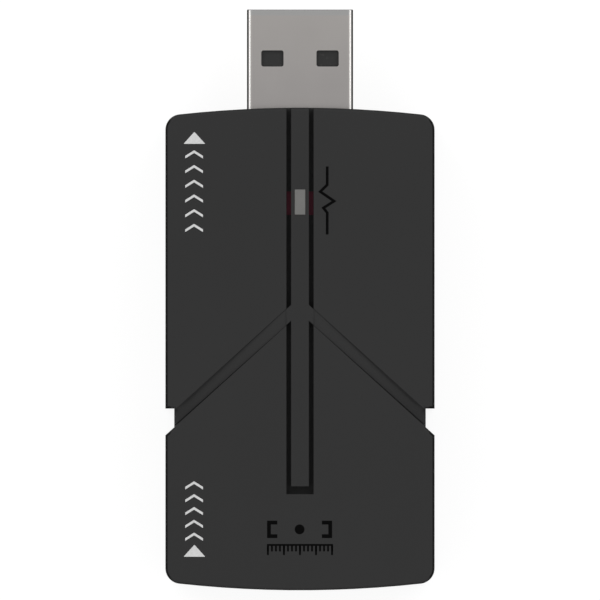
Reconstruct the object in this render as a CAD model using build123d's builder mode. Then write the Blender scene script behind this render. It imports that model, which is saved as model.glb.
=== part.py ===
from build123d import *
import math
import os

# A video capture box: a moulded housing of two shells that holds a board between a computer plug
# and a video socket. The origin is the middle of the flat underside, +Y points out of the computer
# plug and +Z out of the grooved top. Every size is in millimetres and every angle in degrees.

# Housing
housing_width = 30.4
housing_length = 54.5
housing_height = 13.0
end_arch_radius = 125.0
corner_radius = 1.75
inner_corner_radius = 0.4
edge_radius = 0.35
base_bevel = 0.35
wall = 1.6
floor_thickness = 1.6
roof_thickness = 2.2
parting_height = 6.5
seam_bevel = 0.15
lip_height = 0.8
lip_thickness = 0.7

# Clearances, and how far a cutting shape runs past what it cuts
fit_clearance = 0.05
press_clearance = 0.03
opening_clearance = 0.12
cut_overrun = 1.0

# Centre rail, standing in a long slot that leaves a groove on each side of it
slot_width = 3.08
rail_width = 2.0
groove_depth = 1.2
slot_end_setback = 10.85
rail_end_gap = 0.9

# Slanted channels, and the thumb notches that they run into
channel_angle = 42.2
channel_apex_setback = 21.27
channel_width = 1.44
channel_start_depth = 0.06
channel_end_depth = 0.56
channel_side_angle = 16.0
cove_radius_share = 2.0
bridge_inset = 0.08
notch_depth = 1.0
notch_rise = 0.17

# Status window, and the light pipe under it
window_width = 1.19
window_length = 2.83
window_proud = 0.05
window_setback = 2.93
pipe_strip_length = 2.68
pipe_strip_setback = 3.06
pipe_stem_width = 2.0
pipe_flange_width = 4.2
pipe_flange_length = 3.8
pipe_flange_thickness = 0.8
pipe_led_gap = 0.3

# Circuit board
board_thickness = 1.2
board_gap = 0.3
board_corner_radius = 1.0
leg_slot_clearance = 0.15

# Posts that carry the board, with pins that place it and meet bosses of the top shell. The board
# takes its share of the free height inside the housing below it, and the rest above the socket.
under_board_share = 8 / 19
post_radius = 1.8
pin_radius = 0.8
pin_reach = 2.0
pin_bevel = 0.2
board_hole_clearance = 0.1
front_post_inset = 3.85
rear_post_inset = 4.85
support_rib_thickness = 1.0
support_rib_reach = 4.0
support_rib_shares = (0.296, -0.533, -0.82)
hold_rib_thickness = 1.0
hold_rib_inset = 1.5

# Snap hooks of the top shell, and the pockets that they catch in
snap_width = 3.5
snap_thickness = 0.85
snap_catch = 0.45
snap_lead = 0.9
snap_land = 0.25
snap_tip_height = 3.2
snap_root_height = 2.6
snap_front_share = 0.477
snap_notch_gap = 3.45

# Computer plug
plug_width = 12.0
plug_height = 4.5
plug_wall = 0.3
plug_corner_radius = 0.6
plug_exposed = 11.14
plug_length = 18.86
plug_tip_bevel = 0.06
plug_seam = 0.06
plug_window_width = 2.52
plug_window_length = 1.83
plug_window_setback = 4.62
plug_window_spacing = 6.24
plug_window_radius = 0.25
plug_leg_width = 1.2
plug_leg_setback = 1.4
plug_leg_pitch = 3.0
plug_leg_overlap = 0.5
insulator_setback = 0.4
insulator_thickness = 1.84
insulator_block_length = 6.0
power_contact_setback = 1.2
data_contact_setback = 2.2
plug_contact_width = 1.0
power_contact_spacing = 7.0
data_contact_spacing = 2.0

# Video socket: the mouth is wide above and narrow below
socket_width = 14.0
socket_height = 4.55
socket_side_height = 2.0
socket_shoulder = 1.5
socket_corner_radius = 0.3
socket_wall = 0.3
socket_flange = 0.3
socket_recess = 0.4
socket_length = 11.5
socket_leg_width = 1.4
socket_leg_front = 3.2
socket_leg_rear = 1.8
socket_leg_overlap = 0.6
tongue_width = 11.2
tongue_thickness = 1.1
tongue_lift = 0.3
tongue_setback = 1.3
tongue_bevel = 0.25
socket_block_length = 2.8
socket_contact_width = 0.3
socket_contact_pitch = 1.0
socket_contact_setback = 2.0
upper_contact_count = 10
lower_contact_count = 9
finger_width = 1.6
finger_length = 5.0
finger_gap = 0.35
finger_spacing = 6.4
finger_setback = 2.0
dimple_radius = 0.4
dimple_depth = 0.25

# Sheet and bends that the contacts of both connectors share
contact_thickness = 0.15
contact_stand = 0.4
contact_stagger = 0.35
contact_tail = 0.9
leg_reach_share = 5 / 12

# Capture chip, with leads on four sides
chip_width = 7.0
chip_height = 1.4
chip_standoff = 0.1
chip_bevel = 0.15
chip_lead_count = 12
chip_lead_pitch = 0.5
chip_lead_width = 0.22
chip_lead_reach = 1.0
chip_lead_foot = 0.5
chip_lead_thickness = 0.13
chip_dot_radius = 0.35
chip_dot_depth = 0.05

# Memory chip, beside the capture chip
memory_width = 3.9
memory_length = 4.9
memory_height = 1.4
memory_lead_count = 4
memory_lead_pitch = 1.27
memory_lead_width = 0.42
memory_lead_reach = 1.05
memory_lead_foot = 0.55
memory_lead_thickness = 0.2
memory_side_bevel = 0.4

# Voltage regulator
regulator_width = 1.6
regulator_length = 2.9
regulator_height = 1.1
regulator_lead_pitch = 0.95
regulator_lead_width = 0.38
regulator_lead_reach = 0.6
regulator_lead_foot = 0.32
regulator_lead_thickness = 0.14

# Clock crystal
crystal_width = 3.2
crystal_length = 2.5
crystal_base_height = 0.45
crystal_lid_height = 0.35
crystal_lid_inset = 0.18
crystal_corner_bevel = 0.3

# Power inductor, a pressed block over two bent terminals
inductor_width = 4.2
inductor_length = 4.0
inductor_height = 2.0
inductor_bevel = 0.35
inductor_terminal_width = 2.2
inductor_terminal_foot = 0.9
inductor_terminal_rise = 1.1
inductor_terminal_thickness = 0.15

# Where the parts lie on the board: shares of its half width, and shares of the free length
# from the socket's rear to the plug's rear
capture_chip_shares = (0, 0.497)
memory_shares = (-0.65, 0.704)
regulator_shares = (0.683, 0.687)
crystal_shares = (0.667, 0.538)
inductor_shares = (0.7, 0.853)
resistor_row_share = 0.1935
esd_row_share = 0.1075
choke_share = 0.773

# Small chip parts
capacitor_length = 1.6
capacitor_width = 0.8
capacitor_height = 0.8
capacitor_cap = 0.3
capacitor_place_shares = [
    (-0.64, 0.513), (-0.64, 0.447), (-0.64, 0.382), (-0.64, 0.317), (0.64, 0.455), (0.64, 0.389),
    (0.64, 0.324), (0.38, 0.76), (0.38, 0.825), (-0.38, 0.847), (-0.66, 0.847),
]
resistor_length = 1.0
resistor_width = 0.5
resistor_height = 0.35
resistor_cap = 0.2
resistor_pitch = 1.7
resistor_count = 8
esd_width = 2.5
esd_length = 1.0
esd_height = 0.55
esd_spacing = 5.2
choke_width = 2.0
choke_length = 1.25
choke_height = 1.2
choke_bevel = 0.15

# Indicator
led_width = 1.6
led_length = 0.8
led_base_height = 0.25
led_lens_height = 0.35
led_lens_inset = 0.3

# Heights that follow from the sizes above
roof_underside = housing_height - roof_thickness
groove_floor = housing_height - groove_depth
free_height = (
    roof_underside - floor_thickness - board_thickness - 2 * socket_wall - socket_height
)
post_height = under_board_share * free_height
board_underside = floor_thickness + post_height
board_top = board_underside + board_thickness
plug_centre_z = board_top + plug_height / 2
plug_top = board_top + plug_height
socket_centre_z = board_top + socket_wall + socket_height / 2
socket_top = board_top + 2 * socket_wall + socket_height
leg_tip = board_underside - leg_reach_share * post_height
pin_tip_z = board_top + pin_reach
led_top = board_top + led_base_height + led_lens_height

# Places along the box that follow from them
plug_tip_y = housing_length / 2 + plug_exposed
plug_rear_y = plug_tip_y - plug_length
socket_mouth_y = socket_recess - housing_length / 2
socket_rear_y = socket_mouth_y + socket_length
board_end_y = housing_length / 2 - wall - board_gap
window_y = plug_rear_y - window_setback
pipe_strip_y = plug_rear_y - pipe_strip_setback
slot_end_y = slot_end_setback - housing_length / 2
channel_apex_y = housing_length / 2 - channel_apex_setback
channel_slope = math.tan(math.radians(channel_angle))
channel_slant = 1 / math.cos(math.radians(channel_angle))
quarter_turn = 90
notch_floor_x = housing_width / 2 - notch_depth
board_width = 2 * (notch_floor_x - wall - board_gap)
plug_leg_places = [plug_rear_y + plug_leg_setback + row * plug_leg_pitch for row in range(2)]
socket_leg_places = [socket_mouth_y + socket_leg_front, socket_rear_y - socket_leg_rear]
post_places = [
    (-(plug_width + board_width) / 4, board_end_y - front_post_inset),
    ((socket_width + 2 * socket_wall + board_width) / 4, rear_post_inset - board_end_y),
]


def board_place(shares):
    """A place on the board from its shares of the half width and of the free length."""
    return (
        shares[0] * board_width / 2,
        socket_rear_y + shares[1] * (plug_rear_y - socket_rear_y),
    )


chip_x, chip_y = board_place(capture_chip_shares)
memory_x, memory_y = board_place(memory_shares)
regulator_x, regulator_y = board_place(regulator_shares)
crystal_x, crystal_y = board_place(crystal_shares)
inductor_x, inductor_y = board_place(inductor_shares)
resistor_y = board_place((0, resistor_row_share))[1]
esd_y = board_place((0, esd_row_share))[1]
choke_y = board_place((0, choke_share))[1]

os.makedirs("parts", exist_ok=True)


def channel_upper_y(x):
    """The edge of the slanted channels that lies nearer to the computer plug."""
    return channel_apex_y - channel_slope * abs(x)


def channel_lower_y(x):
    """The edge of the slanted channels that lies nearer to the video socket."""
    return channel_upper_y(x) - channel_width * channel_slant


def across_plane(y, z):
    """A plane across the box, with its origin over the middle line and its face to the video end."""
    return Plane(origin=(0, y, z), x_dir=(1, 0, 0), z_dir=(0, -1, 0))


def side_plane(x):
    """A plane along the box: its first direction is +Y, its second +Z, and it faces +X."""
    return Plane(origin=(x, 0, 0), x_dir=(0, 1, 0), z_dir=(1, 0, 0))


def save(builder, name):
    """Label a finished piece and write it under its own name."""
    builder.part.label = name
    export_step(builder.part, f"parts/{name}.step")


# Outlines seen from above

def plain_plan(inset):
    """The housing's outline, drawn in by an inset: straight sides and shallow arched ends."""
    half_width = housing_width / 2 - inset
    half_length = housing_length / 2 - inset
    arch_radius = end_arch_radius - inset
    shoulder = half_length - arch_radius + math.sqrt(arch_radius**2 - half_width**2)
    with BuildSketch() as plan:
        with BuildLine():
            ThreePointArc((-half_width, shoulder), (0, half_length), (half_width, shoulder))
            Line((half_width, shoulder), (half_width, -shoulder))
            ThreePointArc((half_width, -shoulder), (0, -half_length), (-half_width, -shoulder))
            Line((-half_width, -shoulder), (-half_width, shoulder))
        make_face()
        fillet(plan.vertices(), max(corner_radius - inset, inner_corner_radius))
    return plan.sketch


def notch_plan(inset):
    """The two thumb notches, grown by the inset of the wall that goes round them."""
    inner_x = notch_floor_x - inset
    outer_x = housing_width / 2 + cut_overrun
    drop = inset * channel_slant
    with BuildSketch() as notches:
        with BuildLine():
            Polyline(
                (inner_x, notch_top_y + inset),
                (inner_x, channel_lower_y(inner_x) - drop),
                (outer_x, channel_lower_y(outer_x) - drop),
                (outer_x, notch_top_y + inset),
                close=True,
            )
        make_face()
        mirror(about=Plane.YZ)
    return notches.sketch


def housing_plan(inset):
    """The housing's outline with its notches, drawn in by an inset."""
    with BuildSketch() as plan:
        add(plain_plan(inset))
        add(notch_plan(inset), mode=Mode.SUBTRACT)
    return plan.sketch


def groove_plan():
    """The slot less its rail, and less the bridge where the slanted channels cross it."""
    rail_end_y = slot_end_y + rail_end_gap
    far_y = housing_length / 2 + cut_overrun
    half_slot = slot_width / 2
    with BuildSketch() as grooves:
        with Locations((0, slot_end_y)):
            Rectangle(slot_width, far_y - slot_end_y, align=(Align.CENTER, Align.MIN))
        with Locations((0, rail_end_y)):
            Rectangle(
                rail_width, far_y - rail_end_y, align=(Align.CENTER, Align.MIN), mode=Mode.SUBTRACT
            )
        with BuildLine():
            Polyline(
                (0, channel_upper_y(0) - bridge_inset),
                (half_slot, channel_upper_y(half_slot) - bridge_inset),
                (half_slot, channel_lower_y(half_slot) + bridge_inset),
                (0, channel_lower_y(0) + bridge_inset),
                (-half_slot, channel_lower_y(half_slot) + bridge_inset),
                (-half_slot, channel_upper_y(half_slot) - bridge_inset),
                close=True,
            )
        make_face(mode=Mode.SUBTRACT)
    return grooves.sketch


notch_top_y = channel_upper_y(notch_floor_x) + notch_rise


# Outline of the video socket, seen from its mouth

def socket_profile(grow):
    """The mouth of the video socket, grown outwards by a wall, a flange or a clearance."""
    half_wide = socket_width / 2
    half_narrow = half_wide - socket_shoulder
    top = socket_height / 2
    side_low = top - socket_side_height
    shoulder_low = side_low - socket_shoulder
    with BuildSketch() as profile:
        with BuildLine():
            Polyline(
                (-half_wide, top),
                (half_wide, top),
                (half_wide, side_low),
                (half_narrow, shoulder_low),
                (half_narrow, -top),
                (-half_narrow, -top),
                (-half_narrow, shoulder_low),
                (-half_wide, side_low),
                close=True,
            )
        make_face()
        rows = profile.vertices().group_by(Axis.Y)
        fillet(rows[0] + rows[2] + rows[3], socket_corner_radius)
        if grow:
            offset(amount=grow)
    return profile.sketch


# Cutters that both shells or the top shell need

def channel_cutter():
    """Both slanted channels, each with a floor that sinks outwards between two unlike sides.

    The side nearer to the plug is a shallow cove, part of a cone with its tip in the roof's face,
    whose radius is a share of the depth. The other side is flat and leans outwards.
    """
    start_x = slot_width / 2
    run = (notch_floor_x - start_x) * channel_slant
    sink = (channel_end_depth - channel_start_depth) / run
    tip_x = start_x - channel_start_depth / (sink * channel_slant)
    tip = (tip_x, channel_upper_y(tip_x), housing_height)
    reach = (notch_floor_x + notch_depth / 2 - tip_x) * channel_slant + channel_width * channel_slope
    sideways = sink * math.sqrt(2 * cove_radius_share - 1)
    upwards = sink * (cove_radius_share - 1)
    climb = math.atan2(upwards, math.hypot(1, sideways))
    fall = math.atan(math.hypot(sideways, upwards)) - climb
    heading = -math.radians(channel_angle) - math.atan(sideways)
    ahead = (math.cos(heading), math.sin(heading), 0)
    axis_end = (reach * math.cos(climb), reach * math.sin(climb))
    rim = reach / math.cos(climb + fall)
    floor_end = (rim * math.cos(fall), -rim * math.sin(fall))
    middle_plane = Plane(origin=tip, x_dir=ahead, z_dir=(ahead[1], -ahead[0], 0))
    edge_angle = math.radians(channel_angle)
    section_plane = Plane(
        origin=tip,
        x_dir=(-math.sin(edge_angle), -math.cos(edge_angle), 0),
        z_dir=(-math.cos(edge_angle), math.sin(edge_angle), 0),
    )
    lean = math.tan(math.radians(channel_side_angle))
    with BuildPart() as cutter:
        with BuildSketch(middle_plane):
            with BuildLine():
                Polyline(
                    (0, cut_overrun), (0, 0), floor_end, (floor_end[0], cut_overrun), close=True
                )
            make_face()
        extrude(amount=channel_width + cut_overrun)
        with BuildSketch(section_plane):
            with BuildLine():
                Polyline(
                    (-cut_overrun, cut_overrun),
                    (channel_width + lean * cut_overrun, cut_overrun),
                    (channel_width - lean * roof_thickness, -roof_thickness),
                    (-cut_overrun, -roof_thickness),
                    close=True,
                )
            make_face()
        extrude(amount=2 * reach, both=True, mode=Mode.INTERSECT)
        with BuildSketch(middle_plane):
            with BuildLine():
                Polyline((0, 0), floor_end, axis_end, close=True)
            make_face()
        axis = Axis(tip, middle_plane.from_local_coords(Vector(*axis_end)) - Vector(*tip))
        revolve(axis=axis, revolution_arc=2 * quarter_turn)
        split(bisect_by=side_plane(start_x))
        mirror(about=Plane.YZ)
    return cutter.part


def connector_openings():
    """The openings in the end walls, one for the plug and one for the socket, run well inside."""
    reach = wall + 2 * cut_overrun
    plug_gap = 2 * opening_clearance
    with BuildPart() as openings:
        with BuildSketch(across_plane(housing_length / 2 + cut_overrun, plug_centre_z)):
            RectangleRounded(
                plug_width + plug_gap, plug_height + plug_gap, plug_corner_radius + opening_clearance
            )
        extrude(amount=reach)
        with BuildSketch(across_plane(-housing_length / 2 - cut_overrun, socket_centre_z)):
            add(socket_profile(socket_wall + socket_flange + opening_clearance))
        extrude(amount=-reach)
    return openings.part


# Bottom shell: floor, walls with a lip, posts with pins, board supports and snap pockets

snap_inner_x = housing_width / 2 - wall - fit_clearance - snap_thickness
snap_outer_x = housing_width / 2 - wall - fit_clearance
snap_catch_top = snap_tip_height + snap_lead + snap_land
snap_places = (
    snap_front_share * housing_length / 2,
    channel_lower_y(notch_floor_x) - wall * channel_slant - snap_notch_gap - snap_width / 2,
)

with BuildPart() as bottom_shell:
    with BuildSketch():
        add(housing_plan(0))
    extrude(amount=parting_height)
    chamfer(bottom_shell.faces().sort_by(Axis.Z)[0].edges(), base_bevel)
    chamfer(bottom_shell.faces().sort_by(Axis.Z)[-1].edges(), seam_bevel)
    with BuildSketch(Plane.XY.offset(parting_height)):
        add(housing_plan(wall - lip_thickness))
    extrude(amount=lip_height)
    with BuildSketch(Plane.XY.offset(floor_thickness)):
        add(housing_plan(wall))
    extrude(amount=housing_height, mode=Mode.SUBTRACT)
    add(connector_openings(), mode=Mode.SUBTRACT)
    with BuildSketch(Plane.XY.offset(floor_thickness)):
        with Locations(*post_places):
            Circle(post_radius)
        for rib_share in support_rib_shares:
            for side in (-1, 1):
                with Locations(
                    (side * (board_width - support_rib_reach) / 2, rib_share * board_end_y)
                ):
                    Rectangle(support_rib_reach, support_rib_thickness)
    extrude(amount=post_height)
    with BuildSketch(Plane.XY.offset(board_underside)):
        with Locations(*post_places):
            Circle(pin_radius)
    extrude(amount=pin_tip_z - board_underside)
    pin_tips = bottom_shell.edges().filter_by(GeomType.CIRCLE).filter_by_position(
        Axis.Z, pin_tip_z - fit_clearance, pin_tip_z + fit_clearance
    )
    chamfer(pin_tips, pin_bevel)
    with BuildSketch(Plane.XY.offset(snap_tip_height)):
        for snap_y in snap_places:
            with Locations((0, snap_y)):
                Rectangle(
                    2 * (snap_outer_x + snap_catch + 2 * fit_clearance),
                    snap_width + 4 * fit_clearance,
                )
    extrude(amount=snap_catch_top + fit_clearance - snap_tip_height, mode=Mode.SUBTRACT)
save(bottom_shell, "bottom_shell")


# Top shell: roof with the rail, grooves and channels outside, and bosses, ribs and hooks inside

with BuildPart() as top_shell:
    with BuildSketch(Plane.XY.offset(parting_height)):
        add(housing_plan(0))
    extrude(amount=housing_height - parting_height)
    fillet(top_shell.faces().sort_by(Axis.Z)[-1].edges(), edge_radius)
    chamfer(top_shell.faces().sort_by(Axis.Z)[0].edges(), seam_bevel)
    with BuildSketch(Plane.XY.offset(parting_height)):
        add(housing_plan(wall))
    extrude(amount=roof_underside - parting_height, mode=Mode.SUBTRACT)
    with BuildSketch(Plane.XY.offset(parting_height)):
        add(housing_plan(wall - lip_thickness - fit_clearance))
    extrude(amount=lip_height + fit_clearance, mode=Mode.SUBTRACT)
    add(connector_openings(), mode=Mode.SUBTRACT)
    with BuildSketch(Plane.XY.offset(board_top)):
        with Locations(*post_places):
            Circle(post_radius)
    extrude(amount=roof_underside - board_top)
    with BuildSketch(Plane.XY.offset(board_top)):
        with Locations(*post_places):
            Circle(pin_radius + fit_clearance)
    extrude(amount=pin_reach + pin_bevel, mode=Mode.SUBTRACT)
    for rib_width, rib_y, rib_low in (
        (plug_width - 2 * hold_rib_inset, plug_rear_y + plug_leg_setback, plug_top),
        (socket_width - 2 * hold_rib_inset, socket_rear_y - socket_leg_rear, socket_top),
    ):
        with BuildSketch(Plane.XY.offset(rib_low)):
            with Locations((0, rib_y)):
                Rectangle(rib_width, hold_rib_thickness)
        extrude(amount=roof_underside - rib_low)
    with BuildSketch(Plane.XZ) as hook_profile:
        with BuildLine():
            Polyline(
                (snap_inner_x, roof_underside),
                (snap_inner_x, snap_tip_height),
                (snap_outer_x, snap_tip_height),
                (snap_outer_x + snap_catch, snap_tip_height + snap_lead),
                (snap_outer_x + snap_catch, snap_catch_top),
                (snap_outer_x, snap_catch_top),
                (snap_outer_x, roof_underside - snap_root_height),
                (snap_outer_x + fit_clearance, roof_underside - snap_root_height),
                (snap_outer_x + fit_clearance, roof_underside),
                close=True,
            )
        make_face()
        mirror(about=Plane.YZ)
    for snap_y in snap_places:
        with Locations((0, snap_y, 0)):
            add(extrude(hook_profile.sketch, amount=snap_width / 2, both=True, mode=Mode.PRIVATE))
    with BuildSketch(Plane.XY.offset(groove_floor)):
        add(groove_plan())
    extrude(amount=groove_depth + cut_overrun, mode=Mode.SUBTRACT)
    add(channel_cutter(), mode=Mode.SUBTRACT)
    with BuildSketch(Plane.XY.offset(roof_underside)):
        with Locations((0, pipe_strip_y)):
            Rectangle(slot_width, pipe_strip_length)
    extrude(amount=groove_floor - roof_underside, mode=Mode.SUBTRACT)
    with BuildSketch(Plane.XY.offset(groove_floor)):
        with Locations((0, window_y)):
            Rectangle(window_width + 2 * press_clearance, window_length + 2 * press_clearance)
    extrude(amount=groove_depth + cut_overrun, mode=Mode.SUBTRACT)
save(top_shell, "top_shell")


# Status window and light pipe: the pipe is pressed into the roof from below, with its head level
# with the floors of the grooves, and the frosted window stands on that head inside the rail

with BuildPart() as status_window:
    with BuildSketch(Plane.XY.offset(groove_floor)):
        with Locations((0, window_y)):
            Rectangle(window_width, window_length)
    extrude(amount=groove_depth + window_proud)
save(status_window, "status_window")

with BuildPart() as status_light_pipe:
    with BuildSketch(Plane.XY.offset(led_top + pipe_led_gap)):
        with Locations((0, pipe_strip_y)):
            Rectangle(pipe_stem_width, pipe_stem_width)
    extrude(amount=roof_underside - led_top - pipe_led_gap)
    with BuildSketch(Plane.XY.offset(roof_underside)):
        with Locations((0, pipe_strip_y)):
            Rectangle(pipe_flange_width, pipe_flange_length)
    extrude(amount=-pipe_flange_thickness)
    with BuildSketch(Plane.XY.offset(roof_underside)):
        with Locations((0, pipe_strip_y)):
            Rectangle(slot_width - 2 * press_clearance, pipe_strip_length - 2 * press_clearance)
    extrude(amount=groove_floor - roof_underside)
save(status_light_pipe, "status_light_pipe")


# Circuit board: its ends follow the housing's arches, and the posts and legs pass through it

with BuildPart() as circuit_board:
    with BuildSketch(Plane.XY.offset(board_underside)) as board_plan:
        add(plain_plan(wall + board_gap))
        Rectangle(board_width, housing_length, mode=Mode.INTERSECT)
        fillet(board_plan.vertices(), board_corner_radius)
        with Locations(*post_places):
            Circle(pin_radius + board_hole_clearance, mode=Mode.SUBTRACT)
        for leg_x, leg_width, leg_wall, leg_places in (
            (plug_width / 2 - plug_wall / 2, plug_leg_width, plug_wall, plug_leg_places),
            (socket_width / 2 + socket_wall / 2, socket_leg_width, socket_wall, socket_leg_places),
        ):
            for leg_y in leg_places:
                with Locations((-leg_x, leg_y), (leg_x, leg_y)):
                    Rectangle(
                        leg_wall + 2 * leg_slot_clearance,
                        leg_width + 2 * leg_slot_clearance,
                        mode=Mode.SUBTRACT,
                    )
    extrude(amount=board_thickness)
save(circuit_board, "circuit_board")


# Computer plug: a folded shell with its seam below, two windows above and two below, and four legs

with BuildPart() as plug_shell:
    with BuildSketch(across_plane(plug_tip_y, plug_centre_z)):
        RectangleRounded(plug_width, plug_height, plug_corner_radius)
    extrude(amount=plug_length)
    chamfer(plug_shell.faces().sort_by(Axis.Y)[-1].edges(), plug_tip_bevel)
    with BuildSketch(across_plane(plug_tip_y, plug_centre_z)):
        RectangleRounded(
            plug_width - 2 * plug_wall, plug_height - 2 * plug_wall, plug_corner_radius - plug_wall
        )
    extrude(amount=plug_length, mode=Mode.SUBTRACT)
    with BuildSketch(Plane.XY.offset(board_top)):
        with Locations((0, plug_tip_y - plug_window_setback - plug_window_length / 2)):
            with GridLocations(plug_window_spacing, 0, 2, 1):
                RectangleRounded(plug_window_width, plug_window_length, plug_window_radius)
        with Locations((0, plug_tip_y - plug_length / 2)):
            Rectangle(plug_seam, plug_length)
    extrude(amount=2 * plug_wall, mode=Mode.SUBTRACT)
    with BuildSketch(Plane.XY.offset(plug_top)):
        with Locations((0, plug_tip_y - plug_window_setback - plug_window_length / 2)):
            with GridLocations(plug_window_spacing, 0, 2, 1):
                RectangleRounded(plug_window_width, plug_window_length, plug_window_radius)
    extrude(amount=-2 * plug_wall, mode=Mode.SUBTRACT)
    for leg_y in plug_leg_places:
        with BuildSketch(Plane.XY.offset(leg_tip)):
            with Locations((0, leg_y)):
                with GridLocations(plug_width - plug_wall, 0, 2, 1):
                    Rectangle(plug_wall, plug_leg_width)
        extrude(amount=board_top + plug_corner_radius + plug_leg_overlap - leg_tip)
save(plug_shell, "plug_shell")


def formed_contact(front_y, strip_z, bend_y, width):
    """One stamped contact: a straight strip, a bend down behind the plastic and a foot on the board."""
    rearward = 1 if bend_y > front_y else -1
    inner_y = bend_y - rearward * contact_thickness
    foot_y = bend_y + rearward * contact_tail
    with BuildPart() as contact:
        with BuildSketch(side_plane(0)):
            with BuildLine():
                Polyline(
                    (front_y, strip_z),
                    (front_y, strip_z + contact_thickness),
                    (bend_y, strip_z + contact_thickness),
                    (bend_y, board_top + contact_thickness),
                    (foot_y, board_top + contact_thickness),
                    (foot_y, board_top),
                    (inner_y, board_top),
                    (inner_y, strip_z),
                    close=True,
                )
            make_face()
        extrude(amount=width / 2, both=True)
    return contact.part


plug_inner_width = plug_width - 2 * plug_wall
plug_inner_height = plug_height - 2 * plug_wall
plug_strip_z = plug_top - plug_wall - insulator_thickness
plug_bend_y = plug_rear_y - contact_stand
plug_contact_rows = (
    (power_contact_spacing, plug_tip_y - power_contact_setback),
    (data_contact_spacing, plug_tip_y - data_contact_setback),
)

with BuildPart() as plug_insulator:
    with BuildSketch(across_plane(plug_rear_y, plug_centre_z)):
        RectangleRounded(
            plug_inner_width - 2 * fit_clearance, plug_inner_height, plug_corner_radius - plug_wall
        )
    extrude(amount=-insulator_block_length)
    with BuildSketch(across_plane(plug_rear_y, plug_centre_z)) as tongue_section:
        RectangleRounded(
            plug_inner_width - 2 * fit_clearance, plug_inner_height, plug_corner_radius - plug_wall
        )
        with Locations((0, plug_inner_height / 2 - insulator_thickness)):
            Rectangle(
                plug_width, plug_height, align=(Align.CENTER, Align.MAX), mode=Mode.SUBTRACT
            )
    extrude(amount=insulator_setback - plug_length)
    with BuildSketch(Plane.XY.offset(plug_strip_z)):
        for spacing, front_y in plug_contact_rows:
            with Locations((-spacing / 2, front_y), (spacing / 2, front_y)):
                Rectangle(plug_contact_width, plug_length, align=(Align.CENTER, Align.MAX))
    extrude(amount=contact_thickness, mode=Mode.SUBTRACT)
save(plug_insulator, "plug_insulator")

with BuildPart() as plug_contacts:
    for spacing, front_y in plug_contact_rows:
        with Locations((-spacing / 2, 0, 0), (spacing / 2, 0, 0)):
            add(formed_contact(front_y, plug_strip_z, plug_bend_y, plug_contact_width))
save(plug_contacts, "plug_contacts")


# Video socket: a drawn shell with a turned-out mouth, two spring fingers above and four legs

finger_root_y = socket_mouth_y + finger_setback + finger_length
socket_leg_x = socket_width / 2 + socket_wall / 2
socket_side_low_z = socket_centre_z + socket_height / 2 - socket_side_height

with BuildPart() as socket_shell:
    with BuildSketch(across_plane(socket_rear_y, socket_centre_z)):
        add(socket_profile(socket_wall))
    extrude(amount=socket_length)
    with BuildSketch(across_plane(socket_mouth_y, socket_centre_z)):
        add(socket_profile(socket_wall + socket_flange))
    extrude(amount=-socket_wall)
    with BuildSketch(across_plane(socket_rear_y, socket_centre_z)):
        add(socket_profile(0))
    extrude(amount=socket_length, mode=Mode.SUBTRACT)
    with BuildSketch(Plane.XY.offset(socket_top)):
        with Locations((0, finger_root_y)):
            with GridLocations(finger_spacing, 0, 2, 1):
                Rectangle(
                    finger_width + 2 * finger_gap,
                    finger_length,
                    align=(Align.CENTER, Align.MAX),
                )
                Rectangle(
                    finger_width,
                    finger_length - finger_gap,
                    align=(Align.CENTER, Align.MAX),
                    mode=Mode.SUBTRACT,
                )
    extrude(amount=-2 * socket_wall, mode=Mode.SUBTRACT)
    with BuildSketch(side_plane(0)) as dimple_profile:
        with Locations((
            finger_root_y - finger_length + finger_gap + dimple_radius,
            socket_top - socket_wall + dimple_radius - dimple_depth,
        )):
            Circle(dimple_radius)
        with Locations((finger_root_y, socket_top - socket_wall / 2)):
            Rectangle(
                2 * finger_length, socket_height, align=(Align.CENTER, Align.MIN), mode=Mode.SUBTRACT
            )
    for side in (-1, 1):
        with Locations((side * finger_spacing / 2, 0, 0)):
            add(extrude(dimple_profile.sketch, amount=finger_width / 4, both=True, mode=Mode.PRIVATE))
    for leg_y in socket_leg_places:
        with BuildSketch(Plane.XY.offset(leg_tip)):
            with Locations((0, leg_y)):
                with GridLocations(2 * socket_leg_x, 0, 2, 1):
                    Rectangle(socket_wall, socket_leg_width)
        extrude(amount=socket_side_low_z + socket_leg_overlap - leg_tip)
save(socket_shell, "socket_shell")

tongue_z = socket_centre_z + tongue_lift
tongue_tip_y = socket_mouth_y + tongue_setback
upper_strip_z = tongue_z + tongue_thickness / 2
lower_strip_z = tongue_z - tongue_thickness / 2 - contact_thickness
socket_contact_y = socket_mouth_y + socket_contact_setback
socket_contact_rows = (
    (upper_contact_count, upper_strip_z, socket_rear_y + contact_stand + contact_stagger),
    (lower_contact_count, lower_strip_z, socket_rear_y + contact_stand),
)

with BuildPart() as socket_insulator:
    with BuildSketch(across_plane(socket_rear_y, socket_centre_z)):
        add(socket_profile(-fit_clearance))
    extrude(amount=socket_block_length)
    with BuildSketch(across_plane(socket_rear_y, tongue_z)):
        Rectangle(tongue_width, tongue_thickness)
    extrude(amount=socket_rear_y - tongue_tip_y)
    chamfer(
        socket_insulator.faces().sort_by(Axis.Y)[0].edges().filter_by(Axis.X), tongue_bevel
    )
    for count, strip_z, bend_y in socket_contact_rows:
        with BuildSketch(Plane.XY.offset(strip_z)):
            with Locations((0, socket_rear_y)):
                with GridLocations(socket_contact_pitch, 0, count, 1):
                    Rectangle(socket_contact_width, 2 * socket_block_length)
        extrude(amount=contact_thickness, mode=Mode.SUBTRACT)
save(socket_insulator, "socket_insulator")


def socket_contacts(count, strip_z, bend_y):
    """One row of the video socket's contacts, side by side at their pitch."""
    with BuildPart() as row:
        with GridLocations(socket_contact_pitch, 0, count, 1):
            add(formed_contact(socket_contact_y, strip_z, bend_y, socket_contact_width))
    return row


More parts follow.
